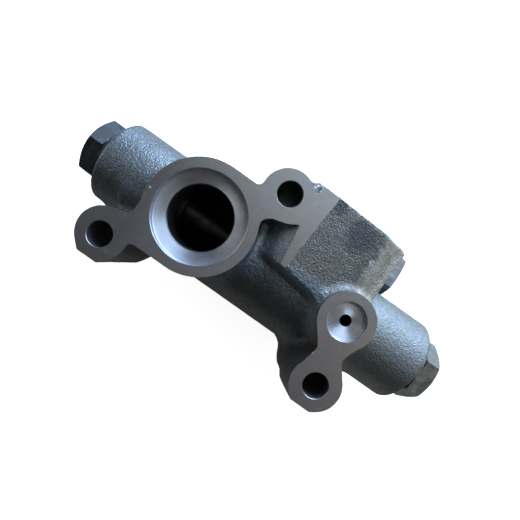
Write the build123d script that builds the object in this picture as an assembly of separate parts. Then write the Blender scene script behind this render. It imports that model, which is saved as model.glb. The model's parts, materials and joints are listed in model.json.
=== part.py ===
from build123d import *
import math
import os

# Lubricating oil pressure regulator in a grey iron casting. Millimetres, +Z up.
# The origin is the centre of the main port on the machined mounting face, the face is the plane z = 0,
# and the long bore runs along X below it. Everything hidden hangs from the face towards -Z.

os.makedirs("parts", exist_ok=True)

# Bolt pattern: two lower holes in a row and one hole midway above them.
bolt_pitch = 104.0
bolt_rise = 56.0
bolt_row_x = -28.0
bolt_row_y = -28.0
bolt_hole_d = 10.5
ear_r = 10.75
ear_flat = 10.1
flat_inner = 5.2
flat_outer = 3.8
ear_shifts = [(0.35, 0.9), (-0.1, 0.2), (-0.5, -0.85)]
column_length = 36.0
top_column_length = 58.0
spot_face_d = 20.0
gusset_drop = 4.0

# Casting habits.
draft = 1.75
wall_depth = 20.0
edge_break = 1.0

# Main port.
main_port_d = 27.0
main_recess_d = 38.5
main_recess_depth = 3.2
main_flange_d = 47.5
web_x = -22.5
web_knee_y = -14.5
web_fillet = 2.5

# Pilot port.
pilot_x = 71.5
pilot_hole_d = 4.7
pilot_recess_d = 16.2
pilot_recess_depth = 2.0
pilot_flange_d = 24.0
neck_width = 11.3
neck_fillet = 5.0
skirt_radius = 5.0

# Long barrel and its bore.
axis_depth = 32.0
barrel_d = 41.0
barrel_start = -52.0
barrel_length = 166.0
bore_d = 22.0
core_d = 33.0
pressure_core = 56.0
land_width = 5.0
drain_core = 11.0
belly_d = 50.0
belly_margin = 6.0
pressure_start = -14.0
drain_width = 18.0
foot_width = 32.0

# Plugs, all three of one size.
thread_d = 24.0
thread_gap = 0.05
plug_reach = 12.0
thread_spare = 2.0
collar_d = 29.0
collar_thickness = 3.0
seal_thickness = 1.5
hex_across = 27.0
hex_height = 8.0
spring_pocket_d = 17.0
spring_pocket_depth = 18.0
pin_pocket_depth = 16.0
spring_plug_turn = 6.0
pilot_plug_turn = 25.0
relief_plug_turn = 40.0

# Control spool, its spring and its stop.
sliding_gap = 0.03
rest_gap = 0.3
stem_d = 12.0
land_overlap = 3.0
guide_land = 21.0
metering_land = 7.0
sensing_land = 14.0
nose_d = 10.0
nose_length = 4.7
spool_pocket_d = 16.6
spool_pocket_depth = 17.0
groove_width = 0.8
groove_depth = 0.5
control_coil_d = 16.0
control_wire_d = 2.4
control_turns = 8
shim_thickness = 1.0
shim_count = 2

# Relief block beside the barrel and its bore.
relief_offset = 11.5
relief_axis_depth = 47.5
relief_barrel_d = 35.0
block_start = 34.3
block_end = 79.5
block_low_y = 3.5
block_high_offset = 6.4
block_lean = 2.3
block_skew = 0.126
block_low_draft = 19.5
block_left_draft = 6.0
block_left_slope = 50.0
block_left_depth = 8.2
shoulder_height = 10.0
block_high_draft = 2.0
block_slope = 8.5
strip_edge_x = 40.2
strip_turn = -2.9
end_round = 18.0
corner_round = 3.0
relief_bore_d = 18.0
inlet_d = 12.0
inlet_wall = 4.2
inlet_length = 7.5
passage_d = 8.0
passage_skew = 8.0
relief_drain_d = 8.0

# Relief piston, seat and spring.
seat_thickness = 4.0
seat_bore_d = 11.0
seat_land = 1.5
piston_length = 14.4
piston_nose = 3.4
piston_wall = 2.5
piston_floor = 5.4
relief_coil_d = 12.0
relief_wire_d = 1.6
relief_turns = 7
guide_flange = 3.0
guide_spigot_d = 8.2
guide_spigot = 6.0
guide_gap = 0.5

# Cup plug that closes the outer end of the cross drilling.
cup_d = 14.0
cup_height = 5.0
cup_wall = 1.4
cup_seat = 17.0

# Places that follow from the sizes above.
barrel_end = barrel_start + barrel_length
top_bolt_x = bolt_row_x + bolt_pitch / 2
top_bolt_y = bolt_row_y + bolt_rise
lower_bolts = [(bolt_row_x, bolt_row_y), (bolt_row_x + bolt_pitch, bolt_row_y)]
all_bolts = lower_bolts + [(top_bolt_x, top_bolt_y)]
column_lengths = [column_length, column_length, top_column_length]
pressure_end = pressure_start + pressure_core
drain_start = pressure_end + land_width
drain_end = drain_start + drain_core
belly_start = pressure_start - belly_margin / 3
belly_end = drain_end + belly_margin
back_depth = relief_axis_depth + relief_barrel_d / 2
relief_y = barrel_d / 2 + relief_offset
block_high_y = relief_y + block_high_offset
thread_length = plug_reach + thread_spare
hex_corner_r = hex_across / math.sqrt(3)
metering_edge = pressure_end + land_overlap
guide_end = pressure_start + edge_break * 2
guide_start = guide_end - guide_land
sensing_end = pilot_x - pilot_hole_d / 2 - sliding_gap * 4
nose_end = sensing_end + nose_length
inlet_start = block_start + inlet_wall
seat_start = inlet_start + inlet_length
seat_end = seat_start + seat_thickness
piston_start = seat_end - seat_land + rest_gap / 3
relief_drain_x = (drain_start + drain_end) / 2


def rod(diameter, start, end, y=0.0, depth=axis_depth):
    """Cylinder along X between two stations, on the axis at the given y and depth below the face."""
    return Pos((start + end) / 2, y, -depth) * Rot(0, 90, 0) * Cylinder(diameter / 2, end - start)


def taper_rod(start_d, end_d, start, end, y=0.0, depth=axis_depth):
    """Cone along X, start_d wide at its start and end_d wide at its end."""
    cone = Cone(start_d / 2, end_d / 2, end - start)
    return Pos((start + end) / 2, y, -depth) * Rot(0, 90, 0) * cone


def drop(diameter, x, y, top, bottom):
    """Cylinder along Z between two heights."""
    return Pos(x, y, (top + bottom) / 2) * Cylinder(diameter / 2, top - bottom)


def block(low, high):
    """Box between two corners."""
    size = [b - a for a, b in zip(low, high)]
    middle = [(a + b) / 2 for a, b in zip(low, high)]
    return Pos(*middle) * Box(*size)


def rounded_in(outline, radius):
    """The outline with its inner corners rounded, as a pattern maker fills them."""
    grown = offset(outline, amount=radius, kind=Kind.ARC)
    return offset(grown, amount=-radius, kind=Kind.ARC)


def ear(index):
    """Cast ear, which sits a little inwards of its drilled hole. The two lower ears are squared off below."""
    x, y = all_bolts[index]
    shift_x, shift_y = ear_shifts[index]
    round_ear = Pos(x + shift_x, y + shift_y) * Circle(ear_r)
    if index == 2:
        return round_ear
    inwards = math.copysign((flat_inner - flat_outer) / 2, top_bolt_x - x)
    sole = Pos(x + inwards, y - ear_flat + edge_break / 2) * Rectangle(flat_inner + flat_outer, edge_break)
    return make_hull(round_ear.edges() + sole.edges())


def main_outline():
    """Machined outline round the main port, with the lower left and the top ear."""
    r = main_flange_d / 2
    inner_r = ear_r + edge_break
    notch_y = top_bolt_y + 0.6 * ear_r
    left_web = Polygon((web_x, -r), (0, -r), (0, 0), (web_x, 0), align=None)
    knee = Polygon((web_x, -r), (web_x + 2 * edge_break, web_knee_y), (web_x, web_knee_y), align=None)
    left_ear = make_hull(ear(0).edges() + knee.edges())
    top_web = Polygon(
        (0, 0),
        (r * math.cos(math.radians(34)), r * math.sin(math.radians(34))),
        (top_bolt_x, top_bolt_y - inner_r),
        (top_bolt_x + inner_r / 2, top_bolt_y - inner_r * math.cos(math.radians(30))),
        (block_start, top_bolt_y - ear_r * 0.7),
        (block_start, notch_y),
        (top_bolt_x, notch_y),
        (top_bolt_x - ear_r, r),
        (0, r),
        align=None,
    )
    return rounded_in(Circle(r) + left_web + left_ear + top_web + ear(2), web_fillet)


def pilot_outline():
    """Machined outline round the pilot port, with the neck down to the lower right ear."""
    foot_x, foot_y = lower_bolts[1]
    flange = Pos(pilot_x, 0) * Circle(pilot_flange_d / 2)
    lean = math.degrees(math.atan2(foot_x - pilot_x, -foot_y))
    middle = ((foot_x + pilot_x) / 2 - edge_break / 2, foot_y / 2)
    neck = Pos(*middle) * Rot(0, 0, lean) * Rectangle(neck_width, -foot_y)
    return rounded_in(flange + neck + ear(1), neck_fillet)


def bolt_column(index):
    """Drafted column that carries one bolt from the face to the spot face behind."""
    return extrude(ear(index), amount=-column_lengths[index], taper=-draft)


def gusset(place):
    """Web that spreads from a lower column into the flank of the barrel."""
    x, y = place
    tip = y - 0.75 * ear_r
    low_tip = 0.8 * ear_r
    low_root = 2.1 * ear_r
    root = -barrel_d / 2 + 3.5
    right = [(x + low_tip, tip), (x + low_root, root)]
    left = [(x - low_root, root), (x - low_tip, tip)]
    low = Polygon(*right, *left, align=None)
    high_half = 0.55 * ear_r
    high_y = root / 2 - edge_break
    high = Pos(x, (tip + high_y) / 2) * Rectangle(2 * high_half, high_y - tip)
    top = -axis_depth + barrel_d / 2 - gusset_drop
    return loft([Pos(0, 0, -column_length) * low.face(), Pos(0, 0, top) * high.face()], ruled=True)


def block_plan(depth):
    """Outline of the block at a depth below the face. Its left side slopes first and then drops."""
    low = depth * math.tan(math.radians(block_low_draft))
    sloped = min(depth, block_left_depth)
    left = sloped * math.tan(math.radians(block_left_slope))
    left += (depth - sloped) * math.tan(math.radians(block_left_draft))
    high = depth * math.tan(math.radians(block_high_draft))
    right_x = block_end + edge_break
    skew = (block_end - block_start) * block_skew
    plan = Polygon(
        (block_start + block_lean - left, block_low_y - low),
        (right_x, block_low_y - low - skew),
        (right_x, block_high_y + high),
        (block_start - edge_break - left, block_high_y + high),
        (block_start - left, (block_low_y + block_high_y) / 2),
        align=None,
    )
    return Pos(0, 0, -depth) * plan.face()


def relief_block_top():
    """Upper block, open to the face: a top that falls away to the right into a round end."""
    low = -back_depth
    depths = [0, block_left_depth, relief_axis_depth - relief_barrel_d / 4]
    walls = loft([block_plan(depth) for depth in depths], ruled=True)
    left = block_start - 2 * ear_r
    fall = math.tan(math.radians(block_slope))
    crest = (strip_edge_x - left) * fall
    tail = -(block_end - strip_edge_x) * fall
    side = Polygon((left, low), (block_end, low), (block_end, tail), (left, crest), align=None)
    corner = side.vertices().sort_by(Axis.X)[-2:].sort_by(Axis.Y)[-1]
    side = fillet(corner, end_round)
    span = 2 * (relief_y + relief_barrel_d)
    shape = extrude(Plane.XZ * side, amount=span / 2, both=True)
    middle = (strip_edge_x, (block_low_y + block_high_y) / 2)
    turned = Pos(*middle) * Rot(0, 0, strip_turn) * Pos(-middle[0], -middle[1]) * shape
    footprint = Rectangle(2 * (block_end - left), 2 * (block_high_y + edge_break))
    footprint = Pos(left, 0) * fillet(footprint.vertices(), corner_round)
    ends = extrude(Pos(0, 0, low) * footprint, amount=back_depth + axis_depth)
    return walls & turned & ends


def relief_barrel():
    """Lower part of the block, a round barrel hulled up into the drafted sides."""
    circle = Pos(relief_y, -relief_axis_depth) * Circle(relief_barrel_d / 2)
    high = -axis_depth + barrel_d / 2
    bridge = Polygon(
        (block_low_y, high - shoulder_height),
        (block_high_y, high - shoulder_height),
        (block_high_y, high),
        (block_low_y, high),
        align=None,
    )
    outline = make_hull(circle.edges() + bridge.edges())
    return extrude(Plane.YZ.offset(block_start) * outline, amount=block_end - block_start)


def belly():
    """Wide middle of the barrel round the cored chambers, with the flat foot behind it."""
    axis = -axis_depth
    circle = Pos(0, axis) * Circle(belly_d / 2)
    foot = Pos(0, -back_depth + 1) * Rectangle(foot_width, 2)
    outline = make_hull(circle.edges() + foot.edges())
    solid = extrude(Plane.YZ.offset(belly_start) * outline, amount=belly_end - belly_start)
    ends = solid.faces().sort_by(Axis.X)
    rims = ends[0].edges() + ends[-1].edges()
    return fillet(rims, 2 * edge_break)


def pilot_skirt():
    """Hollow sweep of metal round the pilot flange where it rises out of the sloping block."""
    r = pilot_flange_d / 2
    top = -edge_break
    low = top - skirt_radius
    floor = -axis_depth
    line = Polyline((0, 0), (r, 0), (r, top))
    hollow = RadiusArc((r, top), (r + skirt_radius, low), -skirt_radius)
    close = Polyline((r + skirt_radius, low), (r + skirt_radius, floor), (0, floor), (0, 0))
    face = make_face(line.edges() + hollow.edges() + close.edges())
    skirt = Pos(pilot_x, 0, 0) * revolve(Plane.XZ * face, Axis.Z)
    span = r + 2 * skirt_radius
    return skirt & block((pilot_x - span, edge_break, floor), (block_end, span, 0))


def raw_casting():
    """The casting before machining."""
    barrel = rod(barrel_d, barrel_start, barrel_end)
    body = fillet(barrel.edges(), edge_break) + belly()
    body += extrude(main_outline(), amount=-wall_depth, taper=-draft)
    body += extrude(pilot_outline(), amount=-wall_depth, taper=-draft)
    for index in range(len(all_bolts)):
        body += bolt_column(index)
    for place in lower_bolts:
        body += gusset(place)
    body += relief_block_top() + relief_barrel() + pilot_skirt()
    return body


def ear_flats():
    """Wedge of air below both lower ears, whose outer faces were milled flat."""
    lean = Rot(draft, 0, 0)
    span = 2 * barrel_length
    return Pos(0, bolt_row_y - ear_flat, 0) * lean * Pos(0, -barrel_d / 2, 0) * Box(span, barrel_d, span)


def threaded_end(end, inward, y=0.0, depth=axis_depth):
    """Tapped mouth of a bore with its lead-in, from the end face inwards."""
    start, stop = sorted((end, end + inward * thread_length))
    mouth = rod(thread_d, start, stop, y, depth)
    outer_d = thread_d + 2 * edge_break
    if inward > 0:
        return mouth + taper_rod(outer_d, thread_d, end, end + edge_break, y, depth)
    return mouth + taper_rod(thread_d, outer_d, end - edge_break, end, y, depth)


def long_bore():
    """Honed bore with its two cored chambers and both tapped ends."""
    cut = rod(bore_d, barrel_start, barrel_end)
    cut += rod(core_d, pressure_start, pressure_end)
    cut += rod(core_d, drain_start, drain_end)
    return cut + threaded_end(barrel_start, 1) + threaded_end(barrel_end, -1)


def passage_direction():
    """From the long bore to the short bore, along the slanted cross drilling."""
    return Vector(passage_skew, relief_y, axis_depth - relief_axis_depth).normalized()


def passage_crossing():
    """Where the cross drilling meets the axis of the short bore."""
    return Vector(inlet_start + inlet_length / 2, relief_y, -relief_axis_depth)


def along_passage(diameter, start, end):
    """Cylinder on the cross drilling, between two distances from the short bore's axis."""
    way = passage_direction()
    base = Plane(origin=passage_crossing() + way * start, z_dir=way)
    return extrude(base * Circle(diameter / 2), amount=end - start)


def short_bore():
    """Relief bore, its inlet, its tapped end, the cross drilling and the passage to the drain chamber."""
    y, depth = relief_y, relief_axis_depth
    cut = rod(relief_bore_d, seat_start, block_end, y, depth)
    cut += rod(inlet_d, inlet_start, seat_start, y, depth)
    cut += threaded_end(block_end, -1, y, depth)
    reach = math.hypot(relief_y, relief_axis_depth - axis_depth)
    cut += along_passage(passage_d, -reach, cup_seat - cup_height / 2)
    cut += along_passage(cup_d, cup_seat - cup_height - edge_break, cup_seat + cup_height)
    cut += along_passage(cup_d + 4 * edge_break, cup_seat, cup_seat + cup_height)
    rise = Vector(0, relief_y, axis_depth - relief_axis_depth)
    base = Plane(origin=(relief_drain_x, 0, -axis_depth), z_dir=rise)
    return cut + extrude(base * Circle(relief_drain_d / 2), amount=rise.length)


def ports():
    """Both recessed ports on the face and the drain window in the foot."""
    cut = drop(main_recess_d, 0, 0, edge_break, -main_recess_depth)
    cut += drop(main_port_d, 0, 0, 0, -axis_depth)
    cut += drop(pilot_recess_d, pilot_x, 0, edge_break, -pilot_recess_depth)
    cut += drop(pilot_hole_d, pilot_x, 0, 0, -axis_depth)
    window = RectangleRounded(drain_core, drain_width, 2 * edge_break)
    window = Pos((drain_start + drain_end) / 2, 0, -back_depth - edge_break) * window
    return cut + extrude(window, amount=back_depth - axis_depth)


def bolt_holes():
    """Through holes with their spot faces behind."""
    cut = Part()
    for (x, y), length in zip(all_bolts, column_lengths):
        cut += drop(bolt_hole_d, x, y, edge_break, -length - edge_break)
        cut += drop(spot_face_d, x, y, -length, -back_depth - edge_break)
    return cut


def valve_body():
    over = 2 * barrel_length
    milled = block((-over, -over, 0), (over, over, over))
    body = raw_casting() - milled - ear_flats()
    body = body - long_bore() - short_bore()
    return body - ports() - bolt_holes()


def plug(pocket_d, pocket_depth):
    """Hexagon screw plug. Its seal face is at x = 0 and its head points to +X."""
    axis = dict(y=0.0, depth=0.0)
    head_end = collar_thickness + hex_height
    head = Plane.YZ.offset(collar_thickness) * RegularPolygon(hex_across / 2, 6, major_radius=False)
    head = extrude(head, amount=hex_height)
    face_d = 0.95 * hex_across
    bevel = (2 * hex_corner_r - face_d) / 2 * math.tan(math.radians(30))
    full = rod(2 * hex_corner_r, collar_thickness, head_end - bevel, **axis)
    full += taper_rod(2 * hex_corner_r, face_d, head_end - bevel, head_end, **axis)
    solid = (head & full) + rod(collar_d, 0, collar_thickness, **axis)
    reach = plug_reach + seal_thickness
    shank = rod(thread_d - 2 * thread_gap, edge_break - reach, 0, **axis)
    tip_d = thread_d - 2 * thread_gap - 2 * edge_break
    tip = taper_rod(tip_d, thread_d - 2 * thread_gap, -reach, edge_break - reach, **axis)
    pocket = rod(pocket_d, -reach, pocket_depth - reach, **axis)
    return solid + shank + tip - pocket


def seated(solid, end, outward, turn, y=0.0, depth=axis_depth):
    """A plug or ring set against a barrel end, one hexagon corner turned from +Z towards +Y."""
    heading = 0 if outward > 0 else 180
    return Pos(end, y, -depth) * Rot(30 - turn, 0, 0) * Rot(0, 0, heading) * solid


def seal_ring():
    """Flat ring under a plug's collar, from x = 0 to its thickness."""
    axis = dict(y=0.0, depth=0.0)
    return rod(collar_d, 0, seal_thickness, **axis) - rod(thread_d + 4 * thread_gap, 0, seal_thickness, **axis)


def balance_grooves(diameter, stations, y=0.0, depth=axis_depth):
    """Shallow rings that keep a sliding land centred in its bore."""
    cut = Part()
    for x in stations:
        ring = rod(diameter + groove_depth, x, x + groove_width, y, depth)
        cut += ring - rod(diameter - 2 * groove_depth, x, x + groove_width, y, depth)
    return cut


def control_spool():
    """Three lands on one stem: the hollow guide land, the metering land and the sensing land with its nose."""
    land_d = bore_d - 2 * sliding_gap
    spool = rod(stem_d, guide_start, sensing_end)
    lands = [
        (guide_start, guide_end),
        (metering_edge - metering_land, metering_edge),
        (sensing_end - sensing_land, sensing_end),
    ]
    for start, end in lands:
        land = rod(land_d, start, end)
        spool += chamfer(land.edges(), groove_depth)
    spool += rod(nose_d, sensing_end, nose_end)
    spool -= rod(spool_pocket_d, guide_start, guide_start + spool_pocket_depth)
    third = (sensing_land - groove_width) / 3
    stations = [sensing_end - sensing_land + third, sensing_end - third - groove_width]
    stations += [guide_start + guide_land / 3, guide_start + 2 * guide_land / 3]
    return spool - balance_grooves(land_d, stations)


def coil(start, end, coil_d, wire_d, turns, y=0.0, depth=axis_depth):
    """Round wire compression spring along X with both ends ground flat."""
    length = end - start
    path = Helix(length / turns, length, (coil_d - wire_d) / 2)
    section = Plane(origin=path @ 0, z_dir=path % 0) * Circle(wire_d / 2)
    wire = Pos(start, y, -depth) * Rot(0, 90, 0) * sweep(section, path=path)
    return wire & rod(2 * coil_d, start, end, y, depth)


def shims(start, count, outer_d, inner_d, y=0.0, depth=axis_depth):
    """Setting shims side by side, from the given station towards +X."""
    rings = []
    for index in range(count):
        low = start + index * shim_thickness
        high = low + shim_thickness
        rings.append(rod(outer_d, low, high, y, depth) - rod(inner_d, low, high, y, depth))
    return rings


def relief_seat():
    """Hardened ring pressed in the short bore, with the conical seat on its inner edge."""
    axis = dict(y=relief_y, depth=relief_axis_depth)
    ring = rod(relief_bore_d, seat_start, seat_end, **axis)
    cone = taper_rod(seat_bore_d, seat_bore_d + 2 * seat_land, seat_end - seat_land, seat_end, **axis)
    return ring - rod(seat_bore_d, seat_start, seat_end, **axis) - cone


def relief_piston():
    """Hollow piston with a conical nose that closes the seat."""
    axis = dict(y=relief_y, depth=relief_axis_depth)
    land_d = relief_bore_d - 2 * sliding_gap
    tip_d = seat_bore_d - 2 * rest_gap
    cone_length = 2 * seat_land
    end = piston_start + piston_length
    nose = taper_rod(tip_d, tip_d + 2 * cone_length, piston_start, piston_start + cone_length, **axis)
    neck = rod(tip_d + 2 * cone_length, piston_start + cone_length, piston_start + piston_nose, **axis)
    land = rod(land_d, piston_start + piston_nose, end, **axis)
    cup = rod(land_d - 2 * piston_wall, piston_start + piston_floor, end, **axis)
    middle = piston_start + (piston_nose + piston_length) / 2
    rings = balance_grooves(land_d, [middle], **axis)
    return nose + neck + land - cup - rings


def relief_guide(start):
    """Stepped disc whose spigot centres the relief spring. It points towards -X from the given station."""
    axis = dict(y=relief_y, depth=relief_axis_depth)
    flange = rod(spring_pocket_d - 2 * guide_gap, start - guide_flange, start, **axis)
    spigot = rod(guide_spigot_d, start - guide_flange - guide_spigot, start - guide_flange, **axis)
    return chamfer(spigot.edges().sort_by(Axis.X)[0], edge_break) + flange


def cup_plug():
    """Thin steel cup pressed in the mouth of the cross drilling, its open side outwards."""
    outer = along_passage(cup_d, cup_seat - cup_height, cup_seat)
    return outer - along_passage(cup_d - 2 * cup_wall, cup_seat - cup_height + cup_wall, cup_seat)


def stop_pin(start, end):
    """Plain pin with broken edges, pressed in the pilot plug."""
    return chamfer(rod(nose_d, start, end).edges(), groove_depth)


def build_parts():
    relief_axis = dict(y=relief_y, depth=relief_axis_depth)
    spring_plug = plug(spring_pocket_d, spring_pocket_depth)
    pilot_plug = plug(nose_d, pin_pocket_depth)
    left_face = barrel_start - seal_thickness
    right_face = barrel_end + seal_thickness
    relief_face = block_end + seal_thickness
    left_pocket = left_face + plug_reach + seal_thickness - spring_pocket_depth
    right_pocket = right_face - plug_reach - seal_thickness + pin_pocket_depth
    relief_pocket = relief_face - plug_reach - seal_thickness + spring_pocket_depth
    control_start = left_pocket + shim_count * shim_thickness
    control_end = guide_start + spool_pocket_depth
    relief_start = piston_start + piston_floor
    guide_base = relief_pocket - shim_thickness
    shim_d = spring_pocket_d - 2 * guide_gap
    return {
        "valve_body": valve_body(),
        "spring_plug": seated(spring_plug, left_face, -1, spring_plug_turn),
        "pilot_plug": seated(pilot_plug, right_face, 1, pilot_plug_turn),
        "relief_plug": seated(spring_plug, relief_face, 1, relief_plug_turn, **relief_axis),
        "spring_plug_seal": seated(seal_ring(), barrel_start, -1, 0),
        "pilot_plug_seal": seated(seal_ring(), barrel_end, 1, 0),
        "relief_plug_seal": seated(seal_ring(), block_end, 1, 0, **relief_axis),
        "control_spool": control_spool(),
        "control_spring": coil(control_start, control_end, control_coil_d, control_wire_d, control_turns),
        "control_shims": Compound(children=shims(left_pocket, shim_count, shim_d, nose_d)),
        "spool_stop_pin": stop_pin(nose_end + rest_gap, right_pocket),
        "relief_seat": relief_seat(),
        "relief_piston": relief_piston(),
        "relief_spring": coil(
            relief_start, guide_base - guide_flange, relief_coil_d, relief_wire_d, relief_turns, **relief_axis
        ),
        "relief_guide": relief_guide(guide_base),
        "relief_shim": shims(guide_base, 1, shim_d, guide_spigot_d, **relief_axis)[0],
        "passage_plug": cup_plug(),
    }


for name, solid in build_parts().items():
    export_step(solid, f"parts/{name}.step")
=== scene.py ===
import json
import math

import bmesh
import bpy
import numpy as np
from mathutils import Matrix, Vector, noise


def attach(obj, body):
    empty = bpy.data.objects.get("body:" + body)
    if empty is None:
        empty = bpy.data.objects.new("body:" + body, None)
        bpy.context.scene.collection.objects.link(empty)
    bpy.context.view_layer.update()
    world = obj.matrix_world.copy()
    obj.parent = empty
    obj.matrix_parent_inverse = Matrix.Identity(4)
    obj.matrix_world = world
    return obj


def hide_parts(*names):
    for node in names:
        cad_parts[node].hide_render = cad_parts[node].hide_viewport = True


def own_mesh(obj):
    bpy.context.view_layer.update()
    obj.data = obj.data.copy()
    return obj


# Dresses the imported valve. The casting is worked out in millimetres and scaled to metres once.
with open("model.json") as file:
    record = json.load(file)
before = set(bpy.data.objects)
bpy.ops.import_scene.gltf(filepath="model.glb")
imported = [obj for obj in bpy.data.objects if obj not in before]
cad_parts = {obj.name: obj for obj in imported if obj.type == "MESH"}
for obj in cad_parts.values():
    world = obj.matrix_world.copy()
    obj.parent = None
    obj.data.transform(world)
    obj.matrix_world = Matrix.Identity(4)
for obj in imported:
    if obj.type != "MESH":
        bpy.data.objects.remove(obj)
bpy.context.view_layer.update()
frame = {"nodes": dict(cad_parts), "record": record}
MM = 0.001

# Sizes repeated from the part, in millimetres. Drafts and slopes are tangents.
FLANGE_R = 23.75
WEB_X = -22.5
KNEE_Y = -14.5
EAR_R = 10.75
EARS = [(-27.65, -27.1), (75.9, -27.8), (23.5, 27.15)]
EAR_FLAT_Y = -38.1
FLAT_INNER = 5.2
FLAT_OUTER = 3.8
NOTCH_Y = 34.45
BOLTS = [(-28.0, -28.0), (76.0, -28.0), (24.0, 28.0)]
BOLT_R = 5.25
SPOT_FACE_R = 10.0
COLUMNS = (36.0, 36.0, 58.0)
WALL = 20.0
DRAFT = math.tan(math.radians(1.75))
MAIN_RECESS = (19.25, 3.2)
MAIN_PORT_R = 13.5
PILOT = (71.5, 0.0)
PILOT_FLANGE_R = 12.0
PILOT_RECESS = (8.1, 2.0)
PILOT_HOLE_R = 2.35
NECK_WIDTH = 11.3
AXIS_Z = -32.0
BARREL_R = 20.5
BARREL = (-52.0, 114.0)
BELLY_R = 25.0
BELLY = (-16.0, 64.0)
FOOT_Z = -65.0
FOOT_HALF = 16.0
CORE_R = 16.5
BORE_R = 11.0
THREAD_R = 12.0
THREAD_LENGTH = 14.0
PRESSURE = (-14.0, 42.0)
DRAIN = (47.0, 58.0)
DRAIN_HALF = 9.0
RELIEF_Y = 32.0
RELIEF_Z = -47.5
RELIEF_R = 17.5
RELIEF_BORE_R = 9.0
INLET = (38.5, 46.0)
INLET_R = 6.0
PASSAGE_R = 4.0
PASSAGE_SKEW = 8.0
CUP_R = 7.0
BLOCK_X = (34.3, 79.5)
BLOCK_Y = (3.5, 38.4)
BLOCK_LEAN = 2.3
BLOCK_SKEW = 0.126
BLOCK_LOW_DRAFT = 0.354
BLOCK_LEFT_DRAFT = 0.105
BLOCK_HIGH_DRAFT = 0.035
BLOCK_SLOPE_DEPTH = 8.2
BLOCK_SLOPE = math.tan(math.radians(50.0))
BLOCK_FALL = math.tan(math.radians(8.5))
BLOCK_BOTTOM = -38.75
SHOULDERS = (-21.5, -11.5)
STRIP_X = 40.2
STRIP_TURN = math.radians(2.9)
END_ROUND = 18.0
SEAL = 1.5
HEX_ACROSS = 27.0
HEAD_TOP = 11.0
COLLAR_R = 14.5
COLLAR_TOP = 3.0
SHANK_R = 11.95
SHANK_END = -13.5
LAND_R = 10.97
LANDS = [(-33.0, -12.0), (38.0, 45.0), (55.03, 69.03)]
STEM_R = 6.0
NOSE = (5.0, 73.73)
SPOOL_POCKET = (8.3, -16.0)
CONTROL_SPRING = (-56.0, -16.0)
RELIEF_SPRING = (54.0, 81.5)

# Marks that the photograph shows, in millimetres on the face. A scorch has its reach as a third number.
NOTCH = (32.6, 36.4)
NICKS = [(-22.4, -1.5), (67.2, -18.0)]
CHIPS = (68.0, 25.4)
# FACET is the centre of the painted light on the sloped facet left of the strip, not a mark.
FACET = (30.5, 11.5)
SCORCHES = [(57.4, 31.0, 8.5), (42.5, 36.0, 5.0)]

# Metal left on for facing, the step of the grid that samples the casting, how far cutters reach past a face,
# and the radius of the cutters that face the long barrel.
FACING = 0.3
GRID = 0.7
PAST = 4.0
FACE_CUT_R = 40.0

# Tones of the casting, linear red, green and blue. A pair is a dark and a light one.
SKIN = ((0.13, 0.155, 0.18), (0.17, 0.19, 0.21))
# Painted glint: lighter tips on the sand grain.
GRAIN_GLINT = (0.36, 0.4, 0.46)
BROWN_CAST = (0.15, 0.13, 0.10)
# Painted sheen: bluish tone on the belly.
BELLY_SHEEN = (0.11, 0.15, 0.20)
# Painted shade: dark tone on the flank below the face, towards -Y.
FLANK_SHADE = (0.05, 0.05, 0.046)
# Painted highlight on the fillet above the pilot flange.
FILLET_HIGHLIGHT = (0.33, 0.38, 0.42)
RIGHT_GREY = (0.195, 0.197, 0.19)
SAND = ((0.08, 0.077, 0.071), (0.215, 0.205, 0.186))
SCORCH = (0.04, 0.041, 0.045)
BARE_METAL = ((0.37, 0.345, 0.285), (0.50, 0.47, 0.40))
# Painted light on the sloped facet left of the strip.
FACET_LIGHT = (0.3, 0.34, 0.38)
TORN_METAL = (0.8, 0.84, 0.88)
# Painted shade laid into hollows and crevices.
HOLLOW_SHADE = (0.02, 0.021, 0.022)
MILLED = ((0.235, 0.222, 0.222), (0.325, 0.315, 0.315))
MILLED_BROWN = (0.26, 0.215, 0.20)
# Painted dark reflection on the left ear of the milled face.
MILLED_DARK_REFLECTION = (0.17, 0.155, 0.15)
MILLED_PALE = (0.4, 0.4, 0.41)
MILLED_STREAK = (0.2, 0.17, 0.16)
MILLED_BLOT = (0.43, 0.43, 0.45)
MILLED_SPECK = (0.5, 0.5, 0.52)
# Painted glint on the two nicks.
NICK_GLINT = (0.95, 0.95, 0.97)
TURNED = ((0.52, 0.54, 0.60), (0.74, 0.77, 0.84))
TURNED_DULL = (0.46, 0.47, 0.54)
OILED_WALL = ((0.035, 0.036, 0.04), (0.075, 0.077, 0.085))
# Drilled walls are near black: painted shade in the bolt holes.
DRILLED_WALL_SHADE = ((0.014, 0.015, 0.018), (0.03, 0.032, 0.037))
CORED_WALL = ((0.012, 0.012, 0.013), (0.028, 0.028, 0.03))
FACED_END = ((0.2, 0.2, 0.21), (0.29, 0.29, 0.3))
PLUG_CHIP = (0.45, 0.48, 0.52)


def smin(a, b, k):
    """Union of two distance fields with a fillet about as wide as k."""
    h = np.maximum(k - np.abs(a - b), 0) / k
    return np.minimum(a, b) - h * h * k / 4


def smax(a, b, k):
    """Intersection of two distance fields with a rounded edge about as wide as k."""
    return -smin(-a, -b, k)


def round_corner(a, b, radius):
    """Intersection of two half spaces with a round outer corner."""
    a, b = a + radius, b + radius
    return np.minimum(np.maximum(a, b), 0) + np.hypot(np.maximum(a, 0), np.maximum(b, 0)) - radius


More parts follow.
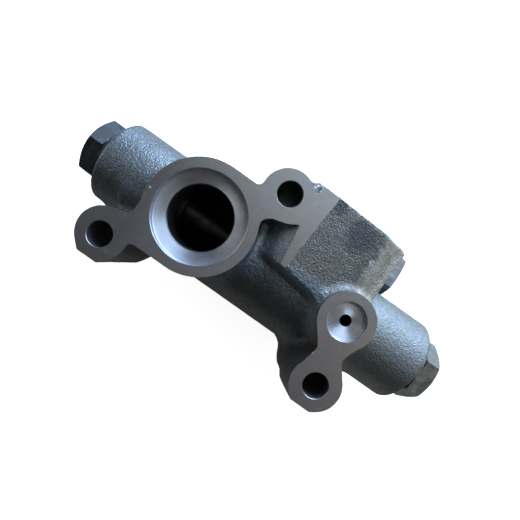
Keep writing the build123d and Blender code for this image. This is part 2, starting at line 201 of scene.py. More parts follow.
def polygon(u, v, points):
    """Signed distance to a closed polygon in a plane, negative inside."""
    best, inside = None, None
    for (ax, ay), (bx, by) in zip(points, points[1:] + points[:1]):
        ex, ey = bx - ax, by - ay
        wx, wy = u - ax, v - ay
        t = np.clip((wx * ex + wy * ey) / (ex * ex + ey * ey), 0, 1)
        d = np.hypot(wx - ex * t, wy - ey * t)
        crosses = ((ay > v) != (by > v)) & (u < ax + (v - ay) * ex / (ey or 1))
        best = d if best is None else np.minimum(best, d)
        inside = crosses if inside is None else inside ^ crosses
    return np.where(inside, -best, best)


def near(u, v, spots, size, reach=6.5):
    """A blend width that is zero except close to the named corners."""
    width = np.full(np.broadcast(u, v).shape, 0.02, dtype=np.float32)
    for a, b in spots:
        width = np.maximum(width, size * np.clip(1.5 * (1 - np.hypot(u - a, v - b) / reach), 0, 1))
    return width


def disc(u, v, centre, radius):
    """Signed distance to a circle in a plane."""
    return np.hypot(u - centre[0], v - centre[1]) - radius


def tangent(point, centre, radius, side):
    """Where the line from a point touches a circle, on the named side."""
    dx, dy = point[0] - centre[0], point[1] - centre[1]
    angle = math.atan2(dy, dx) + side * math.acos(radius / math.hypot(dx, dy))
    return centre[0] + radius * math.cos(angle), centre[1] + radius * math.sin(angle)


def ear(x, y, index):
    """Round ear. The two lower ones are squared off below by a milled flat."""
    centre = EARS[index]
    shape = disc(x, y, centre, EAR_R)
    if index == 2:
        return shape
    inwards = (FLAT_INNER - FLAT_OUTER) / 2 * (1 if index == 0 else -1)
    half = (FLAT_INNER + FLAT_OUTER) / 2
    left = (BOLTS[index][0] + inwards - half, EAR_FLAT_Y)
    right = (BOLTS[index][0] + inwards + half, EAR_FLAT_Y)
    sole = [left, right, tangent(right, centre, EAR_R, 1), centre, tangent(left, centre, EAR_R, -1)]
    return np.minimum(shape, polygon(x, y, sole))


def main_outline(x, y):
    """Machined outline round the main port, with the lower left ear and the top ear."""
    r = FLANGE_R
    bolt_x, bolt_y = BOLTS[2]
    inner = EAR_R + 1
    reach = math.cos(math.radians(34)) * r, math.sin(math.radians(34)) * r
    web = polygon(x, y, [(WEB_X, -r), (0, -r), (0, 0), (WEB_X, 0)])
    top_web = polygon(x, y, [
        (0, 0), reach, (bolt_x, bolt_y - inner), (bolt_x + inner / 2, bolt_y - inner * 0.866),
        (BLOCK_X[0], bolt_y - EAR_R * 0.7), (BLOCK_X[0], NOTCH_Y), (bolt_x, NOTCH_Y), (bolt_x - EAR_R, r),
        (0, r),
    ])
    knee = (WEB_X + 2, KNEE_Y)
    left_ear = polygon(x, y, [
        EARS[0], (knee[0], -r), knee, (knee[0] - 2, KNEE_Y), tangent(knee, EARS[0], EAR_R, 1),
    ])
    left_ear = np.minimum(left_ear, ear(x, y, 0))
    flange = np.minimum(disc(x, y, (0, 0), r), web)
    core = smin(flange, top_web, near(x, y, [(20.6, 13.3)], 3.6, 8))
    ears = np.minimum(left_ear, disc(x, y, EARS[2], EAR_R))
    return smin(core, ears, near(x, y, [(-16.3, -24.3), (WEB_X, KNEE_Y), (13.5, r)], 3.2))


def pilot_outline(x, y):
    """Machined outline round the pilot port, with the neck to the lower right ear."""
    foot = BOLTS[1]
    lean = math.atan2(foot[0] - PILOT[0], -foot[1])
    middle = ((foot[0] + PILOT[0]) / 2 - 0.5, foot[1] / 2)
    across = (x - middle[0]) * math.cos(lean) + (y - middle[1]) * math.sin(lean)
    along = (y - middle[1]) * math.cos(lean) - (x - middle[0]) * math.sin(lean)
    neck = np.maximum(np.abs(across) - NECK_WIDTH / 2, np.abs(along) + foot[1] / 2)
    round_ends = np.minimum(disc(x, y, PILOT, PILOT_FLANGE_R), ear(x, y, 1))
    corners = [(66.2, -11.3), (78.6, -10.6), (68.6, -19.0), (80.0, -17.8)]
    return smin(neck, round_ends, near(x, y, corners, 5.5, 8))


def gusset(x, y, z, place):
    """Web that spreads from a lower column into the flank of the barrel and narrows towards the face."""
    low, high = -COLUMNS[0], -15.5
    rise = np.clip((z - low) / (high - low), 0, 1)
    tip = place[1] - 8
    root = -17 + 7.5 * rise
    half_tip = 8.6 - 2.7 * rise
    half_root = 22.6 - 16.7 * rise
    half = half_tip + (half_root - half_tip) * (y - tip) / (root - tip)
    side = (np.abs(x - place[0]) - half) * 0.75
    ends = np.maximum(tip - y, y - root)
    return smax(np.maximum(side, ends), np.maximum(low - z, z - high), 1.5)


def block_field(x, y, z):
    """Relief housing: drafted sides, a top that falls away and a round right end.

    The last factor of a slanted plane is the cosine that makes a true distance of it.
    """
    deep = -z
    across = y - BLOCK_Y[0]
    half = (BLOCK_Y[1] - BLOCK_Y[0]) / 2
    skewed = BLOCK_Y[0] - BLOCK_SKEW * (x - BLOCK_X[0] - BLOCK_LEAN)
    low = (skewed - BLOCK_LOW_DRAFT * deep - y) * 0.94
    edge = BLOCK_X[0] + np.where(across < half, BLOCK_LEAN * (1 - across / half), 1 - across / half)
    slope = (edge - BLOCK_SLOPE * deep - x) * 0.643
    drop = edge - BLOCK_SLOPE * BLOCK_SLOPE_DEPTH - BLOCK_LEFT_DRAFT * (deep - BLOCK_SLOPE_DEPTH) - x
    left = smax(slope, drop, 2.0)
    high = y - BLOCK_Y[1] - BLOCK_HIGH_DRAFT * deep
    middle = BLOCK_Y[0] + half
    turned = STRIP_X + (x - STRIP_X) * math.cos(STRIP_TURN) - (y - middle) * math.sin(STRIP_TURN)
    top = (z + (turned - STRIP_X) * BLOCK_FALL) * 0.989
    crown = round_corner(top, turned - BLOCK_X[1], END_ROUND)
    soft = np.clip(0.35 * deep, 0.15, 1.2)
    sides = smax(smax(low, left, soft), round_corner(x - BLOCK_X[1], high, 3.0), soft)
    return smax(smax(sides, crown, np.clip(0.06 * (x - 36), 0.15, 1.0)), BLOCK_BOTTOM - z, 1.0)


def relief_field(x, y, z):
    """Round lower half of the relief housing."""
    centre = (RELIEF_Y, RELIEF_Z)
    low_corner, high_corner = (BLOCK_Y[0], SHOULDERS[0]), (BLOCK_Y[1], SHOULDERS[1])
    sides = polygon(y, z, [
        (BLOCK_Y[0], SHOULDERS[1]), low_corner, tangent(low_corner, centre, RELIEF_R, 1),
        tangent(high_corner, centre, RELIEF_R, -1), high_corner,
    ])
    section = np.minimum(sides, disc(y, z, centre, RELIEF_R))
    middle = (BLOCK_X[0] + BLOCK_X[1] + FACING) / 2
    return smax(section, np.abs(x - middle) - (BLOCK_X[1] + FACING - BLOCK_X[0]) / 2, 1.5)


def belly_field(x, y, z):
    """Wide middle of the barrel with its flat foot."""
    axis_r = np.hypot(y, z - AXIS_Z)
    reach = math.hypot(FOOT_HALF, FOOT_Z - AXIS_Z)
    lean = math.atan2(FOOT_HALF, AXIS_Z - FOOT_Z) + math.acos(BELLY_R / reach)
    flank = np.abs(y) * math.sin(lean) - (z - AXIS_Z) * math.cos(lean) - BELLY_R
    touch = AXIS_Z - BELLY_R * math.cos(lean)
    skirt = np.maximum(np.maximum(flank, z - touch), FOOT_Z - FACING - z)
    section = np.minimum(axis_r - BELLY_R, skirt)
    middle = (BELLY[0] + BELLY[1]) / 2
    return smax(section, np.abs(x - middle) - (BELLY[1] - BELLY[0]) / 2, 3.0)


def cast_field(x, y, z):
    """The whole casting before machining, as a signed distance in millimetres."""
    deep = -z
    middle = (BARREL[0] + BARREL[1]) / 2
    half = (BARREL[1] - BARREL[0]) / 2 + FACING
    barrel = smax(np.hypot(y, z - AXIS_Z) - BARREL_R, np.abs(x - middle) - half, 1.4)
    body = smin(barrel, belly_field(x, y, z), 4.0)
    body = smin(body, relief_field(x, y, z), 3.0)
    block_fillet = np.clip(0.6 * deep, 0.05, 3.0) * np.clip(0.12 * y + 0.45, 0.2, 1.0)
    body = smin(body, block_field(x, y, z), block_fillet)
    pilot = smax(pilot_outline(x, y) - DRAFT * deep, -WALL - z, 5.0)
    pilot_fillet = np.clip(2.4 * deep, 0.05, 8.0 - 3.5 * np.clip(y / 6, 0, 1))
    body = smin(body, pilot, pilot_fillet)
    walls = smax(main_outline(x, y) - DRAFT * deep, -WALL - z, 5.0)
    for index, length in enumerate(COLUMNS):
        walls = np.minimum(walls, np.maximum(ear(x, y, index) - DRAFT * deep, -length - z))
    for place in BOLTS[:2]:
        walls = smin(walls, gusset(x, y, z, place), 2.5)
    wall_fillet = np.clip(0.5 * deep, 0.05, 5.5)
    body = smin(body, walls, wall_fillet)
    burr = np.sqrt((x - NOTCH[0]) ** 2 + (y - NOTCH[1]) ** 2 + (z + 3.8) ** 2) - 3.2
    body = smin(body, burr, 0.6)
    ear_flats = EAR_FLAT_Y + DRAFT * deep - y
    return smax(smax(body, ear_flats, 0.25), z - 1.2, 0.4)


def surface_nets(field, low, step):
    """Quads on the zero surface of a sampled field."""
    inside = field < 0
    nx, ny, nz = (n - 1 for n in field.shape)
    corners = [(i, j, k) for i in (0, 1) for j in (0, 1) for k in (0, 1)]
    count = np.zeros((nx, ny, nz), np.uint8)
    for i, j, k in corners:
        count += inside[i:i + nx, j:j + ny, k:k + nz]
    cells = np.argwhere((count > 0) & (count < 8))
    number = np.full((nx, ny, nz), -1, np.int32)
    number[tuple(cells.T)] = np.arange(len(cells), dtype=np.int32)
    total = np.zeros((len(cells), 3), np.float32)
    hits = np.zeros(len(cells), np.float32)
    for start in corners:
        for axis in range(3):
            if start[axis]:
                continue
            stop = list(start)
            stop[axis] = 1
            a = field[tuple((cells + start).T)]
            b = field[tuple((cells + stop).T)]
            cut = (a < 0) != (b < 0)
            point = np.tile(np.array(start, np.float32), (int(cut.sum()), 1))
            point[:, axis] += a[cut] / (a[cut] - b[cut])
            total[cut] += point
            hits[cut] += 1
    points = np.array(low, np.float32) + (cells + total / hits[:, None]) * step
    quads = []
    for axis in range(3):
        u, v = (axis + 1) % 3, (axis + 2) % 3
        here = [slice(1, -1)] * 3
        here[axis] = slice(0, -1)
        there = list(here)
        there[axis] = slice(1, None)
        a, b = inside[tuple(here)], inside[tuple(there)]
        base = np.argwhere(a != b)
        rising = a[tuple(base.T)]
        base[:, u] += 1
        base[:, v] += 1
        ring = []
        for du, dv in ((-1, -1), (0, -1), (0, 0), (-1, 0)):
            cell = base.copy()
            cell[:, u] += du
            cell[:, v] += dv
            ring.append(number[tuple(cell.T)])
        ring = np.stack(ring, 1)
        ring[~rising] = ring[~rising][:, ::-1]
        quads.append(ring)
    return points, np.concatenate(quads)


def gradient(points, step=0.05):
    """Slope of the casting's distance field at the points, and how steep it is."""
    slopes = []
    for axis in range(3):
        shift = np.zeros(3, np.float32)
        shift[axis] = step
        ahead = cast_field(*(points + shift).T)
        behind = cast_field(*(points - shift).T)
        slopes.append((ahead - behind) / (2 * step))
    slope = np.stack(slopes, 1)
    return slope, np.linalg.norm(slope, axis=1)


def cast_skin():
    """Vertices and quads of the unmachined casting, with the unevenness that a sand mould leaves."""
    low = np.array([-55.0, -42.0, -68.0])
    high = np.array([117.0, 53.0, 2.4])
    axes = [np.arange(a, b, GRID, dtype=np.float32) for a, b in zip(low, high)]
    field = cast_field(*np.meshgrid(*axes, indexing="ij", sparse=True)).astype(np.float32)
    points, quads = surface_nets(field, low, GRID)
    points = points.astype(np.float64)
    least = 0.3
    # The grid's vertices are pulled onto the exact surface in three steps.
    for _ in range(3):
        slope, steepness = gradient(points)
        away = cast_field(*points.T) / np.maximum(steepness, least) ** 2
        points -= slope * np.clip(away, -GRID, GRID)[:, None]
    slope, steepness = gradient(points)
    normal = slope / np.maximum(steepness, least)[:, None]
    swell = []
    for point in points:
        swell.append(noise.noise(Vector(point) / 5.0) * 0.06 + noise.noise(Vector(point) / 1.7) * 0.05)
    torn = np.argwhere(np.hypot(points[:, 0] - NOTCH[0], points[:, 1] - NOTCH[1]) < 3.2)[:, 0]
    for i in torn:
        swell[i] = noise.noise(Vector(points[i]) / 0.9) * 0.35
    points += normal * np.array(swell)[:, None]
    points[:, 1] = np.clip(points[:, 1], EAR_FLAT_Y, RELIEF_Y + RELIEF_R)
    above_foot = np.maximum(points[:, 2], FOOT_Z)
    points[:, 2] = np.where(points[:, 1] > FOOT_HALF + 2, above_foot, points[:, 2])
    return points, quads


def mesh_object(name, points, faces):
    """A mesh object from points in millimetres."""
    mesh = bpy.data.meshes.new(name)
    vertices = [tuple(p) for p in np.asarray(points) * MM]
    mesh.from_pydata(vertices, [], [tuple(int(i) for i in face) for face in faces])
    mesh.validate()
    piece = bpy.data.objects.new(name, mesh)
    bpy.context.scene.collection.objects.link(piece)
    return piece


def lathe(name, rows, steps=96, axis="Z", at=(0, 0, 0)):
    """Closed solid turned from (radius, height) rows. Either may be a list, with one value for each step."""
    points, rings = [], []
    for radius, height in rows:
        radii = radius if np.ndim(radius) else [radius] * steps
        heights = height if np.ndim(height) else [height] * steps
        if max(radii) < 1e-6:
            rings.append([len(points)])
            points.append((0, 0, heights[0]))
            continue
        rings.append(list(range(len(points), len(points) + steps)))
        for i in range(steps):
            turn = 2 * math.pi * i / steps
            points.append((radii[i] * math.cos(turn), radii[i] * math.sin(turn), heights[i]))
    faces = []
    for a, b in zip(rings, rings[1:]):
        for i in range(steps):
            j = (i + 1) % steps
            if len(a) == 1:
                faces.append((a[0], b[j], b[i]))
            elif len(b) == 1:
                faces.append((a[i], a[j], b[0]))
            else:
                faces.append((a[i], a[j], b[j], b[i]))
    points = np.array(points, float)
    if axis == "X":
        points = points[:, [2, 0, 1]]
    elif axis != "Z":
        points = points @ np.array(Vector(axis).to_track_quat("Z", "Y").to_matrix()).T
    return mesh_object(name, points + np.array(at, float), faces)


def box_mesh(name, low, high):
    """Box between two corners."""
    corners = [(x, y, z) for x in (low[0], high[0]) for y in (low[1], high[1]) for z in (low[2], high[2])]
    faces = [(0, 1, 3, 2), (4, 6, 7, 5), (0, 4, 5, 1), (2, 3, 7, 6), (0, 2, 6, 4), (1, 5, 7, 3)]
    return mesh_object(name, corners, faces)


def outward(piece):
    """Turns all faces outwards."""
    work = bmesh.new()
    work.from_mesh(piece.data)
    bmesh.ops.recalc_face_normals(work, faces=work.faces)
    work.to_mesh(piece.data)
    work.free()
    return piece


def cut(piece, cutter, slot):
    """Machines the piece with a cutter whose faces leave the material in that slot."""
    outward(cutter)
    for material in piece.data.materials:
        cutter.data.materials.append(material)
    cutter.data.polygons.foreach_set("material_index", [slot] * len(cutter.data.polygons))
    step = piece.modifiers.new(cutter.name, "BOOLEAN")
    step.operation = "DIFFERENCE"
    step.solver = "MANIFOLD"
    step.object = cutter
    bpy.context.view_layer.update()
    shaped = bpy.data.meshes.new_from_object(piece.evaluated_get(bpy.context.evaluated_depsgraph_get()))
    piece.modifiers.clear()
    old = piece.data
    piece.data = shaped
    bpy.data.meshes.remove(old)
    bpy.data.objects.remove(cutter)


def crease(piece, degrees=32, plane_slots=()):
    """Smooth shading with sharp edges above an angle and between materials. Planed faces stay flat."""
    piece.data.polygons.foreach_set("use_smooth", [True] * len(piece.data.polygons))
    piece.data.set_sharp_from_angle(angle=math.radians(degrees))
    work = bmesh.new()
    work.from_mesh(piece.data)
    for edge in work.edges:
        if len({face.material_index for face in edge.link_faces}) > 1:
            edge.smooth = False
    for face in work.faces:
        if face.material_index in plane_slots:
            face.smooth = False
    work.to_mesh(piece.data)
    work.free()


class Shader:
    """A procedural material, built from short calls."""

    def __init__(self, name, metallic, roughness):
        self.material = bpy.data.materials.new(name)
        self.material.use_nodes = True
        self.nodes = self.material.node_tree.nodes
        self.links = self.material.node_tree.links
        self.surface = self.nodes["Principled BSDF"]
        self.surface.inputs["Metallic"].default_value = metallic
        self.surface.inputs["Roughness"].default_value = roughness
        self.place = self.nodes.new("ShaderNodeTexCoord").outputs["Object"]
        self.normal = None

    def put(self, value, socket):
        if isinstance(value, bpy.types.NodeSocket):
            self.links.new(value, socket)
        else:
            socket.default_value = value

    def noise(self, scale, detail=3.0, roughness=0.55, distortion=0.0, vector=None):
        node = self.nodes.new("ShaderNodeTexNoise")
        self.put(vector or self.place, node.inputs["Vector"])
        node.inputs["Scale"].default_value = scale
        node.inputs["Detail"].default_value = detail
        node.inputs["Roughness"].default_value = roughness
        node.inputs["Distortion"].default_value = distortion
        return node.outputs["Fac"]

    def streaks(self, scale, detail, roughness):
        """Noise with its own scale along each axis."""
        return self.noise(1.0, detail, roughness, vector=self.vector_math("MULTIPLY", self.place, scale))

    def vector_math(self, operation, vector, other=None, output=0):
        node = self.nodes.new("ShaderNodeVectorMath")
        node.operation = operation
        self.put(vector, node.inputs[0])
        if other is not None:
            node.inputs[1].default_value = other
        return node.outputs[output]

    def math(self, operation, a, b):
        node = self.nodes.new("ShaderNodeMath")
        node.operation = operation
        self.put(a, node.inputs[0])
        self.put(b, node.inputs[1])
        return node.outputs[0]

    def times(self, first, *others):
        for other in others:
            first = self.math("MULTIPLY", first, other)
        return first

    def plus(self, a, b):
        return self.math("ADD", a, b)

    def remap(self, value, low, high, out_low=0.0, out_high=1.0):
        node = self.nodes.new("ShaderNodeMapRange")
        self.put(value, node.inputs["Value"])
        node.inputs["From Min"].default_value = low
        node.inputs["From Max"].default_value = high
        node.inputs["To Min"].default_value = out_low
        node.inputs["To Max"].default_value = out_high
        return node.outputs[0]

    def fade(self, value, start, end, out_low=0.0, out_high=1.0):
        """Ramp between two places in millimetres, along a named axis or another measure in metres."""
        if isinstance(value, str):
            value = self.axis(value)
        return self.remap(value, start * MM, end * MM, out_low, out_high)

    def mix(self, factor, a, b):
        node = self.nodes.new("ShaderNodeMix")
        node.data_type = "RGBA"
        self.put(factor, node.inputs[0])
        for value, socket in ((a, node.inputs[6]), (b, node.inputs[7])):
            self.put(value if isinstance(value, bpy.types.NodeSocket) else (*value, 1.0), socket)
        return node.outputs[2]

    def over(self, colour, tone, *masks):
        """Lays a tone over a colour, as far as the masks multiplied allow."""
        return self.mix(self.times(*masks), colour, tone)

    def along(self, value, scale):
        """A vector that changes only with the value."""
        node = self.nodes.new("ShaderNodeCombineXYZ")
        self.put(self.times(value, scale), node.inputs[0])
        return node.outputs[0]

    def axis(self, name):
        node = self.nodes.new("ShaderNodeSeparateXYZ")
        self.put(self.place, node.inputs[0])
        return node.outputs[name]

    def radius(self, centre):
        """Vector from an upright axis through a centre in millimetres, and its length in metres."""
        shift = self.vector_math("SUBTRACT", self.place, (centre[0] * MM, centre[1] * MM, 0))
        flat = self.vector_math("MULTIPLY", shift, (1, 1, 0))
        return flat, self.vector_math("LENGTH", flat, output="Value")

    def spot(self, centre, reach, soft=0.2, wander=None):
        """1 within reach of an upright axis through the centre (both in millimetres), 0 outside it."""
        away = self.radius(centre)[1]
        if wander is not None:
            away = self.plus(away, self.times(wander, reach * MM))
            reach *= 1.5
        return self.fade(away, reach, reach * (1 - soft))

    def painted_hollow_shade(self, distance, colour):
        """Painted shade: darkens a colour where other surfaces are closer than the distance, in metres."""
        node = self.nodes.new("ShaderNodeAmbientOcclusion")
        node.samples = 4
        node.inputs["Distance"].default_value = distance
        open_air = self.remap(node.outputs["AO"], 0.12, 0.5)
        return self.mix(open_air, HOLLOW_SHADE, colour)

    def bump(self, height, strength, distance):
        node = self.nodes.new("ShaderNodeBump")
        node.inputs["Strength"].default_value = strength
        node.inputs["Distance"].default_value = distance
        self.put(height, node.inputs["Height"])
        if self.normal is not None:
            self.put(self.normal, node.inputs["Normal"])
        self.normal = node.outputs[0]

    def done(self, colour, roughness=None):
        self.put(colour, self.surface.inputs["Base Color"])
        if roughness is not None:
            self.put(roughness, self.surface.inputs["Roughness"])
        if self.normal is not None:
            self.put(self.normal, self.surface.inputs["Normal"])
        return self.material


def cast_iron():
    """Blue-grey cast skin with a fine sand grain whose tips carry a painted glint, and painted shade in its
    hollows.

    The belly carries a painted bluish sheen, the flank below the face painted shade and the fillet round the
    pilot flange a painted highlight; the right barrel is greyer. The block's top is mottled and scorched, and
    its end is bare.
    """
    s = Shader("cast_iron", 0.75, 0.45)
    grain = s.noise(1250, 2, 0.5)
    lumps = s.noise(520, 3, 0.6, 0.3)
    wander = s.noise(160, 4, 0.65)
    colour = s.mix(s.remap(s.noise(75, 4, 0.6), 0.35, 0.65), *SKIN)
    # Painted glint: the grain's tips are lighter.
    colour = s.over(colour, GRAIN_GLINT, s.remap(grain, 0.5, 0.8, 0, 0.6))
    colour = s.over(colour, BROWN_CAST, s.remap(s.noise(30, 3), 0.55, 0.75, 0, 0.35))
    belly = s.times(s.fade("X", -18, -14), s.fade("X", 66.5, 62.5))
    # Painted sheen: the belly is bluer.
    colour = s.over(colour, BELLY_SHEEN, belly, s.fade("Y", 6, 2, 0, 0.5))
    # Painted shade on the flank below the face, darker towards -Y.
    flank = s.times(s.fade("Y", -6, -14), s.fade("Z", -36, -30), s.fade("X", 84, 80))
    colour = s.over(colour, FLANK_SHADE, flank, 0.75)
    # Painted highlight on the fillet round the pilot flange, on its +Y side.
    colour = s.over(colour, FILLET_HIGHLIGHT, s.spot(PILOT, 18, 0.35), s.fade("Y", 2, 6, 0, 0.55))
    right = s.fade("X", 79, 83)
    colour = s.over(colour, RIGHT_GREY, right, 0.7)

    block = s.times(s.fade("X", 81.2, 80.5), s.fade("Y", 4, 8), s.fade("Z", -24, -19))
    top = s.times(block, s.fade(s.plus(s.axis("X"), s.times(wander, 0.006)), 40, 42))
    sand = s.mix(s.remap(s.noise(1500, 3, 0.6), 0.36, 0.64), *SAND)
    for x, y, reach in SCORCHES:
        sand = s.over(sand, SCORCH, s.spot((x, y), reach, 0.3, s.noise(220, 4, 0.7)), 0.75)
    colour = s.over(colour, sand, top, 0.9)
    bare_end = s.fade(s.plus(s.axis("X"), s.times(wander, 0.014)), 72.5, 76.5)
    bare = s.mix(s.remap(s.noise(260, 4, 0.6), 0.35, 0.65), *BARE_METAL)
    colour = s.over(colour, bare, block, bare_end, 0.9)

    # Painted light on the sloped facet left of the strip.
    colour = s.over(colour, FACET_LIGHT, s.spot(FACET, 6.5, 0.5), s.fade("Z", -14, -11), 0.5)
    flakes = s.remap(s.noise(900, 2, 0.5, 1.0), 0.45, 0.55)
    for place, reach in ((NOTCH, 3.2), (CHIPS, 1.5)):
        colour = s.over(colour, TORN_METAL, s.spot(place, reach), s.fade("Z", -9, -7), flakes)

    s.bump(grain, 0.6, 0.0005)
    relief = s.math("SUBTRACT", s.plus(s.times(belly, 1.4), 1.0), s.times(top, 1.6))
    s.bump(s.times(lumps, relief), 0.35, 0.0006)
    roughness = s.plus(s.remap(lumps, 0.3, 0.7, 0.38, 0.54), s.times(s.plus(top, right), 0.1))
    # Painted shade in the hollows.
    return s.done(s.painted_hollow_shade(0.007, colour), roughness)


def milled():
    """Milled mounting face: warm grey and faintly scratched, with stains, blots and two nicks with a painted
    bright glint.

    It is browner on the lower right ear, has a painted dark reflection on the left one and is paler towards
    the top ear.
    """
    s = Shader("milled_face", 0.85, 0.42)
    stain = s.noise(38, 4, 0.65, 0.6)
    colour = s.mix(s.remap(stain, 0.3, 0.7), *MILLED)
    colour = s.over(colour, MILLED_BROWN, s.fade("X", 58, 72), s.fade("Y", 12, -10), 0.55)
    # Painted dark reflection on the left ear.
    colour = s.over(colour, MILLED_DARK_REFLECTION, s.fade("X", -12, -22), 0.45)
    colour = s.over(colour, MILLED_PALE, s.fade("Y", 8, 24), 0.45)
    colour = s.over(colour, MILLED_STREAK, s.remap(s.streaks((90, 900, 90), 3, 0.7), 0.55, 0.8, 0, 0.45))
    colour = s.over(colour, MILLED_BLOT, s.remap(s.noise(210, 4, 0.7), 0.58, 0.7, 0, 0.4))
    colour = s.over(colour, MILLED_SPECK, s.remap(s.noise(900, 2, 0.5), 0.66, 0.74, 0, 0.5))
    # The nicks are real marks; their near-white is a painted glint.
    for nick in NICKS:
        colour = s.over(colour, NICK_GLINT, s.spot(nick, 0.55, 0.3))
    s.bump(s.streaks((300, 4000, 300), 2, 0.6), 0.12, 0.0001)
    return s.done(colour, s.remap(stain, 0.3, 0.7, 0.48, 0.38))


def turned(name, centre):
    """Turned floor of a recess, with concentric tool marks round its port."""
    s = Shader(name, 1.0, 0.5)
    outwards, radius = s.radius(centre)
    bands = s.noise(1.0, 3, 0.6, vector=s.along(radius, 1500))
    colour = s.mix(s.remap(bands, 0.3, 0.7), *TURNED)
    colour = s.over(colour, TURNED_DULL, s.remap(s.noise(130, 4, 0.65), 0.45, 0.7, 0, 0.5))
    s.surface.inputs["Anisotropic"].default_value = 0.9
    s.put(outwards, s.surface.inputs["Tangent"])
    s.bump(bands, 0.5, 0.00004)
    return s.done(colour, s.remap(bands, 0.3, 0.7, 0.54, 0.64))


def bored(name, tones, metallic=0.9, roughness=0.4):
    """Dark wall of the bores and drillings, with rings from the tool and painted shade in its hollows."""
    s = Shader(name, metallic, roughness)
    rings = s.streaks((2200, 120, 2200), 2, 0.5)
    s.bump(rings, 0.2, 0.00005)
    # Painted shade in the hollows of the bores.
    return s.done(s.painted_hollow_shade(0.006, s.mix(s.remap(rings, 0.3, 0.7), *tones)))


def cored():
    """Rough dark wall of the cored chambers."""
    s = Shader("cored_wall", 0.2, 0.75)
    lumps = s.noise(500, 3, 0.6)
    s.bump(lumps, 0.6, 0.0006)
    return s.done(s.mix(lumps, *CORED_WALL))


def faced():
    """Turned end faces of the barrels and the flat foot."""
    s = Shader("faced_end", 0.9, 0.4)
    s.bump(s.streaks((3500, 250, 250), 2, 0.6), 0.12, 0.0001)
    return s.done(s.mix(s.remap(s.noise(90, 4, 0.6), 0.35, 0.65), *FACED_END))


def steel(name, low, high, roughness, metallic=0.9):
    """Plain steel with a little unevenness in its tone and finish."""
    s = Shader(name, metallic, roughness)
    patch = s.noise(160, 4, 0.6)
    s.bump(s.noise(1800, 2, 0.5), 0.08, 0.0001)
    colour = s.mix(s.remap(patch, 0.35, 0.65), low, high)
    return s.done(colour, s.remap(patch, 0.3, 0.7, roughness + 0.08, roughness - 0.05))


def plug_steel(name, low, high, film_tone):
    """Phosphated plug steel, mottled, with an oily film in places and small bare chips."""
    s = Shader(name, 0.85, 0.38)
    patch = s.noise(260, 4, 0.65, 0.4)
    colour = s.mix(s.remap(patch, 0.35, 0.65), low, high)
    colour = s.over(colour, film_tone, s.remap(s.noise(90, 3, 0.6), 0.5, 0.7, 0, 0.45))
    colour = s.over(colour, PLUG_CHIP, s.remap(s.noise(520, 3, 0.6), 0.67, 0.72, 0, 0.7))
    s.bump(patch, 0.15, 0.0003)
    s.bump(s.noise(1500, 2, 0.5), 0.12, 0.0001)
    return s.done(colour, s.remap(patch, 0.3, 0.7, 0.5, 0.3))


def recess_rows(size, mouth, corner):
    """Rows of a recess in the face, with a chamfered mouth and a small corner at its floor."""
    radius, depth = size
    return [
        (0, PAST), (radius + mouth, PAST), (radius + mouth, 0), (radius, -mouth),
        (radius, corner - depth), (radius - corner, -depth), (0, -depth),
    ]


def hole_rows(radius, floor, mouth):
    """Rows of a hole in a recess's floor, with a chamfered mouth. It ends at the long bore's axis."""
    return [
        (0, 0), (radius + mouth, 0), (radius + mouth, -floor), (radius, -floor - mouth), (radius, AXIS_Z),
        (0, AXIS_Z),
    ]


def thread_rows(end):
    """Rows of a tapped mouth with its lead-in, which end in the air past a right end face."""
    lead_in = THREAD_R + 1
    return [
        (THREAD_R, end - THREAD_LENGTH), (THREAD_R, end - 1), (lead_in, end), (lead_in, end + PAST),
        (0, end + PAST),
    ]


def long_bore_rows():
    """Rows of the long bore, with a tapped mouth at each end and the two cored chambers."""
    left, right = BARREL
    lead_in = THREAD_R + 1
    rows = [
        (0, left - PAST), (lead_in, left - PAST), (lead_in, left), (THREAD_R, left + 1),
        (THREAD_R, left + THREAD_LENGTH), (BORE_R, left + THREAD_LENGTH),
    ]
    for start, end in (PRESSURE, DRAIN):
        rows += [(BORE_R, start), (CORE_R, start), (CORE_R, end), (BORE_R, end)]
    return rows + [(BORE_R, right - THREAD_LENGTH)] + thread_rows(right)


